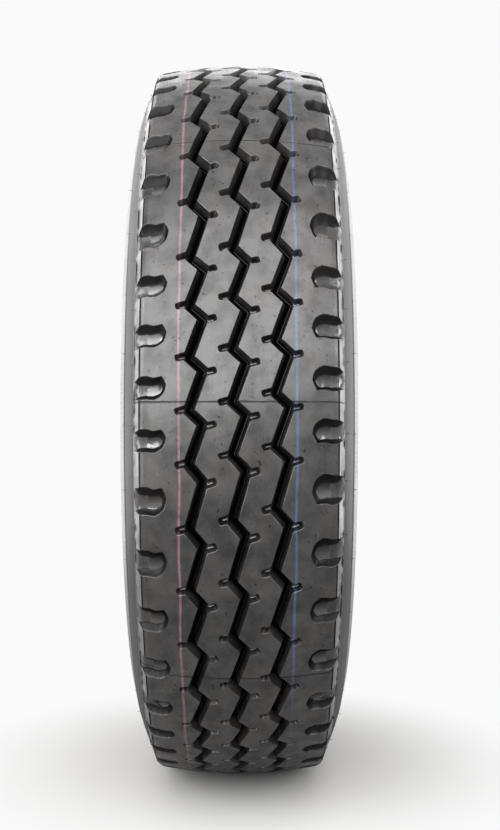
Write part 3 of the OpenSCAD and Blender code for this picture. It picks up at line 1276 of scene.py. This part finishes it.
@dataclass(frozen=True)
class MouldedRubber:
    """Carbon-black rubber, pressed against a steel mould.

    The ribs are a dark neutral grey with a soft sheen. They have lighter clouds, a brown bloom in wide
    patches, specks of dust, fine streaks along the run and small dull smudges. The pockets and slots keep
    the mould's polish and its release agent, and shine. Painted shade makes their walls and the grooves'
    floors black, and the lines where the mould's segments meet are dull and black. The casing has a band
    of painted shade below the shoulder, a ring of fine radial hatch, and a grey, powdered liner.
    """

    name: str = "moulded_carbon_black_rubber"
    dark: str = "#1c1c1e"
    light: str = "#302e2c"
    # Black of the painted shade in deep recesses, on walls and on the casing's band below the shoulder, and
    # also of the dull smudges and the mould's segment lines
    shade: str = "#060607"
    dust: str = "#5c5955"
    bloom: str = "#3b322f"
    liner: str = "#3d3b38"
    roughness: float = 0.34
    gloss_roughness: float = 0.11
    outer_r: float = 542.5
    # Patterns in the colour, then those in the roughness and the relief. The skin's real grain is some
    # 0.1 mm wide and is drawn coarser, so that it shows
    clouds: Patches = Patches(41.7, 5.0, (0.36, 0.64))
    blooms: Patches = Patches(111.0, 2.0, (0.55, 0.7), (0.0, 0.5))
    specks: Patches = Patches(3.03, 2.0, (0.66, 0.76), (0.0, 0.6))
    smudges: tuple[Patches, Patches] = (
        Patches(23.8, 8.0, (0.42, 0.66), (0.0, 0.3)), Patches(4.35, 1.0, (0.68, 0.76), (0.0, 0.5)),
    )  # fmt: skip
    uneven: Patches = Patches(41.7, 5.0, (0.3, 0.7), (-0.09, 0.09))
    skin: Patches = Patches(1.11)
    ripple: Patches = Patches(14.3, 1.0)
    # Length and width of a streak. Its patches are drawn where one length and one width count as a metre
    streak: Pair = (33.9, 1.43)
    rubbed: Patches = Patches(1000.0, 2.0, (0.3, 0.7), (-0.045, 0.045))
    ridged: Patches = Patches(1000.0, 2.0, (0.0, 1.0), (0.0, 0.8))
    # Angles of the lines where the mould's nine segments meet, the half width where a line starts to fade
    # and where it ends, how that wanders, and its depth against the skin's grain. The lines are drawn
    # twice as wide as real ones, so that they show from the camera
    joints: tuple[float, ...] = (41.3, 2.9, -35.6, -76.0, -117.0, -158.0, 161.0, 121.0, 81.0)
    line_half: Pair = (0.6, 1.2)
    line_wander: Patches = Patches(33.3, 2.0, (0.35, 0.65), (0.7, 1.5))
    line_depth: float = 9.0
    stripes: tuple[Stripe, ...] = (
        Stripe(-70.9, "#704e56", (150.0, 20.0)), Stripe(67.1, "#32486a", (-62.0, 32.0)),
    )  # fmt: skip
    # Radii of the casing's band of painted shade and of its hatch ring, in millimetres, with the numbers of
    # teeth in the hatch and of vent lines in the liner, which are some 9 mm apart
    shaded_band: Pair = (475.0, 504.5)
    hatch_band: Pair = (446.0, 465.0)
    hatch_depth: float = 3.5
    teeth: int = 480
    vents: int = 340

    def build(self, finish: Finish) -> bpy.types.Material:
        """Make the rubber of one piece.

        Args:
            finish: which piece it is for.

        Returns:
            The material.
        """
        mat = bpy.data.materials.new(f"{self.name}_{finish.value}")
        ground = Ground(mat)
        add, place = ground.add, ground.place
        tone: Socket | tuple = linear(self.dark)
        layers = ((self.clouds, self.light), (self.blooms, self.bloom), (self.specks, self.dust))
        for patches, colour in layers:
            share = patches.draw(ground, place)
            tone = add("Mix", {0: share, 6: tone, 7: linear(colour)}, out=2, data_type="RGBA")
        along = add("Math", (ground.turn, self.outer_r / self.streak[0]), operation="MULTIPLY")
        across = add("Math", (ground.y, 1000 / self.streak[1]), operation="MULTIPLY")
        run = add("CombineXYZ", (along, across))
        rough = add("Math", (self.uneven.draw(ground, place), self.roughness), operation="ADD")
        rough = add("Math", (rough, self.rubbed.draw(ground, run)), operation="ADD")
        height = add("Math", (self.skin.draw(ground, place), self.ridged.draw(ground, run)), operation="ADD")
        if finish is Finish.TREAD:
            recess = add("Attribute", out="Fac", attribute_name="recess")
            # Painted shade: the colour turns towards black from 7 to 14 mm below the tread surface, deeper in
            # the grooves
            deep = add("MapRange", (recess, 7.0, 14.0, 0.0, 0.95))
            tone = add("Mix", {0: deep, 6: tone, 7: linear(self.shade)}, out=2, data_type="RGBA")
            line = self.segment_lines(ground)
            sunk = add("Math", (line, self.line_depth), operation="MULTIPLY")
            height = add("Math", (height, sunk), operation="SUBTRACT")
            for stripe in self.stripes:
                tone = self.painted(ground, stripe, recess, tone)
        elif finish is Finish.CASING:
            radius = ground.radius()
            tone, rough, height = self.lined(ground, radius, tone, rough, height)
        bump = add("Bump", {"Strength": 0.45, "Distance": 0.00022, "Height": height})
        surface = add("BsdfPrincipled", {
            "Base Color": tone, "Roughness": rough, "Specular IOR Level": 0.8, "IOR": 1.52, "Normal": bump,
        })  # fmt: skip
        if finish is Finish.TREAD:
            # Gloss in the pockets and slots, and painted shade that blackens the grooves' floors and the
            # walls
            surface = self.gloss_and_painted_shade(ground, tone, recess, line, surface)
        elif finish is Finish.CASING:
            # Painted shade: half of a plain black is mixed into the band below the shoulder
            band = ground.band(radius, self.shaded_band, 0.5, 0.5)
            black = add("BsdfDiffuse", {"Color": linear(self.shade), "Roughness": 1.0})
            surface = add("MixShader", (band, surface, black))
        add("OutputMaterial", (surface,))
        return mat

    def gloss_and_painted_shade(self, ground: Ground, tone: Socket, recess: Socket, line: Socket, surface: Socket) -> Socket:
        """Polished floors in the pockets and slots, painted shade that makes the grooves and walls black,
        black mould lines, and smudges.

        A pocket's floor shines up to 108 mm from the middle and again where it turns down at 119 mm, less
        so on the left. The black is the strongest of its four causes: painted shade deep in the grooves,
        painted shade on the walls, the smudges and the mould lines.

        Args:
            ground: the rubber's nodes.
            tone: the rubber's colour.
            recess: depth below the tread surface.
            line: 1 on the lines where the mould's segments meet.
            surface: shader of the ribs.

        Returns:
            Shader of the whole tread.
        """
        add, place, y = ground.add, ground.place, ground.y
        wavy = add("Bump", {"Strength": 0.5, "Distance": 0.0012, "Height": self.ripple.draw(ground, place)})
        glossy = add("BsdfPrincipled", {
            "Base Color": tone, "Roughness": self.gloss_roughness, "Specular IOR Level": 1.0, "IOR": 1.75,
            "Normal": wavy,
        })  # fmt: skip
        black = add("BsdfDiffuse", {"Color": linear(self.shade), "Roughness": 1.0})
        # wall holds the painted shade of the walls, lips and pocket floors' starts
        polished, wall = (add("Attribute", out="Fac", attribute_name=name) for name in ("polished", "wall"))
        out = add("Math", (y,), operation="ABSOLUTE")
        right = add("MapRange", (y, -0.01, 0.01, 0.25, 1.0))
        mouth = add("Math", (ground.band(out, (0.1175, 0.1205), 0.0003), right), operation="MULTIPLY")
        reach = add("Math", (add("MapRange", (out, 0.1076, 0.1084, 1.0, 0.2)), mouth), operation="MAXIMUM")
        shine = add("Math", (add("MapRange", (polished, 0.3, 0.9)), reach), operation="MULTIPLY")
        matt = add("Math", (1.0, shine), operation="SUBTRACT")
        # Painted shade: the grooves' floors go black below 12.8 mm, except where they are polished
        dark = add("Math", (add("MapRange", (recess, 12.8, 14.6)), matt), operation="MULTIPLY")
        smudge = add("Math", [patches.draw(ground, place) for patches in self.smudges], operation="ADD")
        faint = add("Math", (line, 0.6), operation="MULTIPLY")
        # More painted shade on the walls, the lips and the start of a pocket's floor, then the smudges and
        # the mould lines
        for cause in (add("MapRange", (wall, 0.02, 0.32, 0.0, 0.82)), smudge, faint):
            dark = add("Math", (dark, cause), operation="MAXIMUM")
        lit = add("MixShader", (shine, surface, glossy))
        return add("MixShader", (dark, lit, black))

    def segment_lines(self, ground: Ground) -> Socket:
        """Thin lines across the tread where the mould's segments meet, a little uneven.

        The turn from the nearest joint times the outer radius is the distance from its line.

        Args:
            ground: the rubber's nodes.

        Returns:
            1 on the lines and 0 off them.
        """
        add = ground.add
        off: Socket | float = 1.0
        for joint in self.joints:
            off = add("Math", (off, ground.away(joint)), operation="MINIMUM")
        off = add("Math", (off, self.outer_r), operation="MULTIPLY")
        off = add("Math", (off, self.line_wander.draw(ground, ground.place)), operation="DIVIDE")
        return add("MapRange", (off, *self.line_half, 1.0, 0.0))

    def painted(self, ground: Ground, stripe: Stripe, recess: Socket, tone: Socket) -> Socket:
        """Colour with a thin painted stripe that sways a little and wears through in places.

        The paint is the product of its band, its wear, its thin stretch and what reaches into a recess.

        Args:
            ground: the rubber's nodes.
            stripe: the stripe.
            recess: depth below the tread surface.
            tone: colour before it.

        Returns:
            Colour with the stripe.
        """
        add, place = ground.add, ground.place
        middle = add("Math", (stripe.sway.draw(ground, place), stripe.y), operation="ADD")
        off = add("Math", (ground.y, 1000.0), operation="MULTIPLY")
        off = add("Math", (add("Math", (off, middle), operation="SUBTRACT"),), operation="ABSOLUTE")
        paint = add("MapRange", (off, stripe.width / 2 - 0.3, stripe.width / 2 + 0.4, 1.0, 0.0))
        at, reach = stripe.worn
        thin = add("MapRange", (ground.away(at), math.radians(0.4 * reach), math.radians(reach), 0.3, 1.0))
        shallow = add("MapRange", (recess, 7.0, 9.5, 1.0, 0.0))
        for part in (stripe.wear.draw(ground, place), thin, shallow):
            paint = add("Math", (paint, part), operation="MULTIPLY")
        return add("Mix", {0: paint, 6: tone, 7: linear(stripe.colour)}, out=2, data_type="RGBA")

    def lined(
        self, ground: Ground, radius: Socket, tone: Socket, rough: Socket, height: Socket
    ) -> tuple[Socket, Socket, Socket]:
        """Grey, powdered inner liner with vent lines, and a fine radial hatch on the sidewall.

        Both repeat round the tyre as a saw of the angle that goes from 0 to 0.5 and back.

        Args:
            ground: the rubber's nodes.
            radius: distance from the axis, in millimetres.
            tone: colour of the sidewall.
            rough: roughness of the sidewall.
            height: relief of the sidewall.

        Returns:
            Colour, roughness and relief of sidewall and liner.
        """
        add = ground.add
        lining = add("Attribute", out="Fac", attribute_name="liner")
        plain = add("Math", (1.0, lining), operation="SUBTRACT")
        sidewall = add("Mix", {0: 0.6, 6: tone, 7: linear(self.dark)}, out=2, data_type="RGBA")
        tone = add("Mix", {0: lining, 6: sidewall, 7: linear(self.liner)}, out=2, data_type="RGBA")
        rough = add("MapRange", (rough, 0.2, 0.5, self.roughness + 0.02, self.roughness + 0.1))
        powder = add("Math", (lining, 0.2), operation="MULTIPLY")
        rough = add("Math", (rough, powder), operation="ADD")
        vent_level = add("Math", (lining, 2.5), operation="MULTIPLY")
        hatch_level = ground.band(radius, self.hatch_band, 0.5, self.hatch_depth)
        hatch_level = add("Math", (hatch_level, plain), operation="MULTIPLY")
        for count, shape, level in (
            (self.vents, (0.04, 0.12, 1.0, 0.0), vent_level),
            (self.teeth, (0.15, 0.35, 0.0, 1.0), hatch_level),
        ):
            saw = add("Math", (ground.turn, count / (2 * math.pi)), operation="MULTIPLY")
            saw = add("Math", (saw, 0.5), operation="PINGPONG")
            relief = add("Math", (add("MapRange", (saw, *shape)), level), operation="MULTIPLY")
            height = add("Math", (height, relief), operation="ADD")
        return tone, rough, height


@dataclass(frozen=True)
class SoftBox:
    """Rectangular soft box, with its middle and the point that it faces in metres.

    Its level is the brightness of its face, where 1 is white, and its roll is in degrees.
    """

    name: str
    at: Triple
    aim: Triple
    size: Pair
    level: float
    roll: float = 0.0

    def build(self) -> None:
        """Hang the box. Its power is its level times pi times its area."""
        data = bpy.data.lights.new(self.name, "AREA")
        data.shape, data.size, data.size_y = "RECTANGLE", *self.size
        data.energy = self.level * math.pi * self.size[0] * self.size[1]
        box = bpy.data.objects.new(self.name, data)
        box.location = self.at
        face = (Vector(self.aim) - Vector(self.at)).to_track_quat("-Z", "Y")
        box.rotation_euler = face.to_euler()
        box.rotation_euler.rotate_axis("Z", math.radians(self.roll))
        bpy.context.scene.collection.objects.link(box)


@dataclass(frozen=True)
class Studio:
    """White sweep, soft light from the front and above, and the camera at the photograph's place.

    Its places and sizes are in metres, its lens in millimetres and its angles in degrees.
    """

    camera_at: Triple = (1.953, 0.0035, 0.0253)
    tilt: float = -0.528
    turn: float = 0.3645
    lens: float = 53.02
    floor_z: float = -0.5395
    floor_half: float = 9.0
    # Colour of the lit floor as the tyre and as the camera sees it, and of everything plain
    floor_lit: str = "#9a9998"
    floor_seen: str = "#bebdbc"
    plain: str = "#fafafa"
    # Distance from the wheel centre over which the lit floor turns plain. In a reflection it does so
    # further out: the distance is stretched from 1 to 3 times, as x goes from 0 to 0.4
    fade: Pair = (0.54, 0.74)
    ahead: tuple[float, float, float, float] = (0.0, 0.4, 1.0, 3.0)
    # Light of the room on the tyre, and how the plain white darkens as a direction turns upwards
    room: float = 0.22
    overhead: tuple[float, float, float, float] = (0.6, 0.9, 1.0, 0.55)
    boxes: tuple[SoftBox, ...] = (
        SoftBox("key", (3.3, -0.65, 2.0), (0.54, 0.0, 0.1), (5.3, 4.4), 4.15, roll=22.0),
        SoftBox("low_key", (3.5, -0.9, 0.68), (0.54, 0.0, 0.1), (2.8, 0.7), 1.6, roll=20.0),
        SoftBox("left_strip", (1.6, -2.8, 0.75), (0.4, -0.1, 0.0), (1.1, 2.4), 8.0),
        SoftBox("right_strip", (1.6, 2.8, 1.3), (0.4, 0.1, 0.1), (1.1, 1.8), 6.0),
        SoftBox("ceiling", (0.0, 0.0, 3.4), (0.0, 0.0, 0.0), (2.4, 4.0), 0.8),
        SoftBox("back", (-1.7, 0.0, 1.0), (0.0, 0.0, 1.0), (8.0, 3.05), 2.2),
    )

    def camera(self) -> None:
        """Put the camera in front of the tread, level with the axle."""
        data = bpy.data.cameras.new("camera")
        data.lens, data.sensor_width, data.clip_start = self.lens, 36.0, 0.05
        cam = bpy.data.objects.new("camera", data)
        cam.location = self.camera_at
        cam.rotation_euler = (math.radians(90 + self.tilt), 0.0, math.radians(90 - self.turn))
        bpy.context.scene.collection.objects.link(cam)
        bpy.context.scene.camera = cam

    def floor(self) -> None:
        """Make the floor: white, lit and shadowed near the tyre, plain white further out."""
        half, z = self.floor_half, self.floor_z
        corners = [(-half, -half, z), (half, -half, z), (half, half, z), (-half, half, z)]
        mesh = bpy.data.meshes.new("floor")
        mesh.from_pydata(corners, [], [(0, 1, 2, 3)])
        mesh.update()
        piece = bpy.data.objects.new("floor", mesh)
        bpy.context.scene.collection.objects.link(piece)
        mat = bpy.data.materials.new("white_vinyl_sweep")
        add = Nodes(mat).add
        camera, glossy = (add("LightPath", out=f"Is {ray} Ray") for ray in ("Camera", "Glossy"))
        place = add("TexCoord", out="Object")
        far = add("VectorMath", (place,), out="Value", operation="LENGTH")
        fade = add("MapRange", (far, *self.fade), interpolation_type="SMOOTHSTEP")
        ahead = add("MapRange", (add("SeparateXYZ", (place,)), *self.ahead))
        mirrored = add("MapRange", (add("Math", (far, ahead), operation="DIVIDE"), *self.fade))
        shares = [add("Math", pair, operation="MULTIPLY") for pair in ((fade, camera), (mirrored, glossy))]
        share = add("Math", shares, operation="MAXIMUM")
        colours = {0: camera, 6: linear(self.floor_lit), 7: linear(self.floor_seen)}
        lit = add("BsdfDiffuse", {"Color": add("Mix", colours, out=2, data_type="RGBA")})
        plain = add("Emission", {"Color": linear(self.plain), "Strength": 1.0})
        add("OutputMaterial", (add("MixShader", (share, lit, plain)),))
        mesh.materials.append(mat)

    def world(self) -> None:
        """White walls to the camera and in reflections, darker overhead, and a dim room to all else."""
        world = bpy.data.worlds.new("studio")
        bpy.context.scene.world = world
        add = Nodes(world).add
        rays = [add("LightPath", out=f"Is {ray} Ray") for ray in ("Camera", "Glossy")]
        seen = add("Math", rays, operation="MAXIMUM")
        up = add("SeparateXYZ", (add("TexCoord", out="Object"),), out=2)
        level = add("MapRange", (up, *self.overhead))
        room = add("Background", {"Color": (1, 1, 1, 1), "Strength": self.room})
        plain = add("Background", {"Color": linear(self.plain), "Strength": level})
        add("OutputWorld", (add("MixShader", (seen, room, plain)),))

    def build(self) -> None:
        """Make everything round the tyre."""
        bpy.context.scene.view_settings.view_transform = "Standard"
        self.floor()
        self.world()
        for box in self.boxes:
            box.build()
        log.info("studio: floor, world and %d lamps", len(self.boxes))


def dress(piece: bpy.types.Object, material: bpy.types.Material) -> None:
    """Give a piece its material, parent it to the root body and hide the CAD part that it stands for.

    Args:
        piece: the piece.
        material: its material.
    """
    piece.data.materials.append(material)
    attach(piece, "root")
    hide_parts("tyre")


def main() -> None:
    """Build the tyre and its studio, and report each piece."""
    logging.basicConfig(level=logging.INFO, format="%(name)s: %(message)s")
    studio = Studio()
    studio.camera()
    section, pattern = Section(), Pattern()
    rubber = MouldedRubber()
    dress(Tread(pattern, section).build(), rubber.build(Finish.TREAD))
    casing = Casing(section)
    dress(casing.build(), rubber.build(Finish.CASING))
    trim = rubber.build(Finish.TRIM)
    dress(Flash(section).build(), trim)
    dress(SpewHairs(casing).build(), trim)
    studio.build()


if __name__ == "__main__":
    main()
